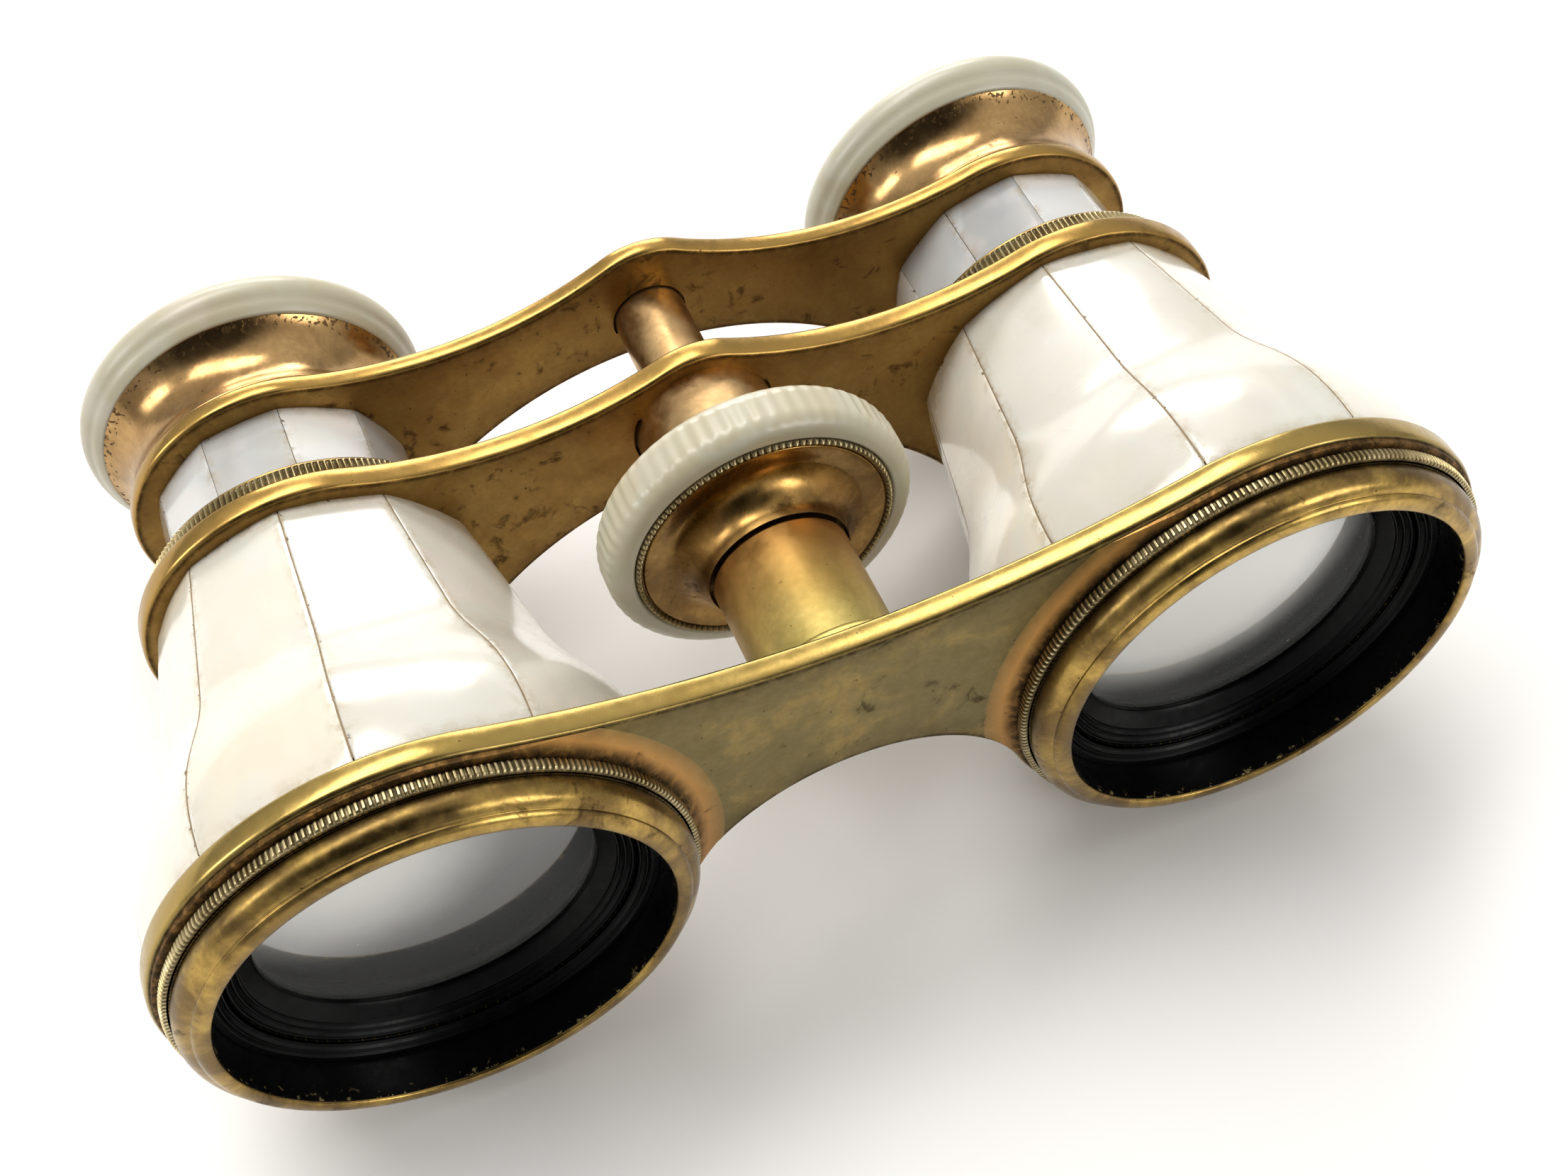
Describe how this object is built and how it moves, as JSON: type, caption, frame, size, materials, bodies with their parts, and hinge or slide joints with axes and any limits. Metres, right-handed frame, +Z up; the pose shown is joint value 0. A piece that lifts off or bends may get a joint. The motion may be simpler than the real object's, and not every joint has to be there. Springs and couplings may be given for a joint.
{
  "type": "opera glasses",
  "caption": "Small Galilean opera glasses: pearl-clad bell barrels on brass bridges, with a central wheel that screws the eyepieces in and out.",
  "frame": {"origin": "centre of the bounding box, on the plane of the two optical axes and midway between them", "axes": "+X across the pair, +Y along the optical axes from the objectives to the eyecups, +Z up, towards the focusing wheel"},
  "size_m": [0.1006, 0.056, 0.0386],
  "materials": {
    "brass": "aged, polished on its edges",
    "lacquered_brass": "copper-tinted lacquer, worn",
    "blackened_brass": "matt black lacquer",
    "pearl": "polished mother-of-pearl",
    "green_pearl": "polished pale green mother-of-pearl",
    "optical_glass": "polished"
  },
  "bodies": {
    "barrels": {"front_bridge": "brass", "middle_bridge": "brass", "front_post": "brass", "barrel_tube_left": "brass", "collar_left": "brass", "objective_cell_left": "brass", "objective_crown_left": "optical_glass", "objective_flint_left": "optical_glass", "objective_retainer_left": "blackened_brass", "stave_left_1": "pearl", "stave_left_2": "pearl", "stave_left_3": "pearl", "stave_left_4": "pearl", "stave_left_5": "pearl", "stave_left_6": "pearl", "stave_left_7": "pearl", "stave_left_8": "pearl", "stave_left_9": "pearl", "stave_left_10": "pearl", "barrel_tube_right": "brass", "collar_right": "brass", "objective_cell_right": "brass", "objective_crown_right": "optical_glass", "objective_flint_right": "optical_glass", "objective_retainer_right": "blackened_brass", "stave_right_1": "pearl", "stave_right_2": "pearl", "stave_right_3": "pearl", "stave_right_4": "pearl", "stave_right_5": "pearl", "stave_right_6": "pearl", "stave_right_7": "pearl", "stave_right_8": "pearl", "stave_right_9": "pearl", "stave_right_10": "pearl"},
    "wheel": {"wheel_hub": "lacquered_brass", "wheel_sleeve": "lacquered_brass", "wheel_rim": "green_pearl", "focus_nut": "brass"},
    "eyepieces": {"rear_bridge": "brass", "inner_tube": "lacquered_brass", "focus_screw": "lacquered_brass", "bridge_screw": "brass", "draw_tube_left": "brass", "draw_pearl_left": "pearl", "eyecup_mount_left": "lacquered_brass", "eyecup_left": "green_pearl", "ocular_lens_left": "optical_glass", "ocular_retainer_left": "blackened_brass", "draw_tube_right": "brass", "draw_pearl_right": "pearl", "eyecup_mount_right": "lacquered_brass", "eyecup_right": "green_pearl", "ocular_lens_right": "optical_glass", "ocular_retainer_right": "blackened_brass"}
  },
  "joints": [
    {"name": "focus_turn", "type": "hinge", "parent": "barrels", "child": "wheel", "pos_m": [0, -0.00595, 0.0073], "axis": [0, 1, 0], "range_deg": [-316, 203]},
    {"name": "eyepiece_slide", "type": "slide", "parent": "barrels", "child": "eyepieces", "axis": [0, 1, 0], "range_m": [-0.007, 0.0045]}
  ],
  "couplings": [
    {"joint": "focus_turn", "follows": "eyepiece_slide", "rad_per_m": 785.4}
  ]
}
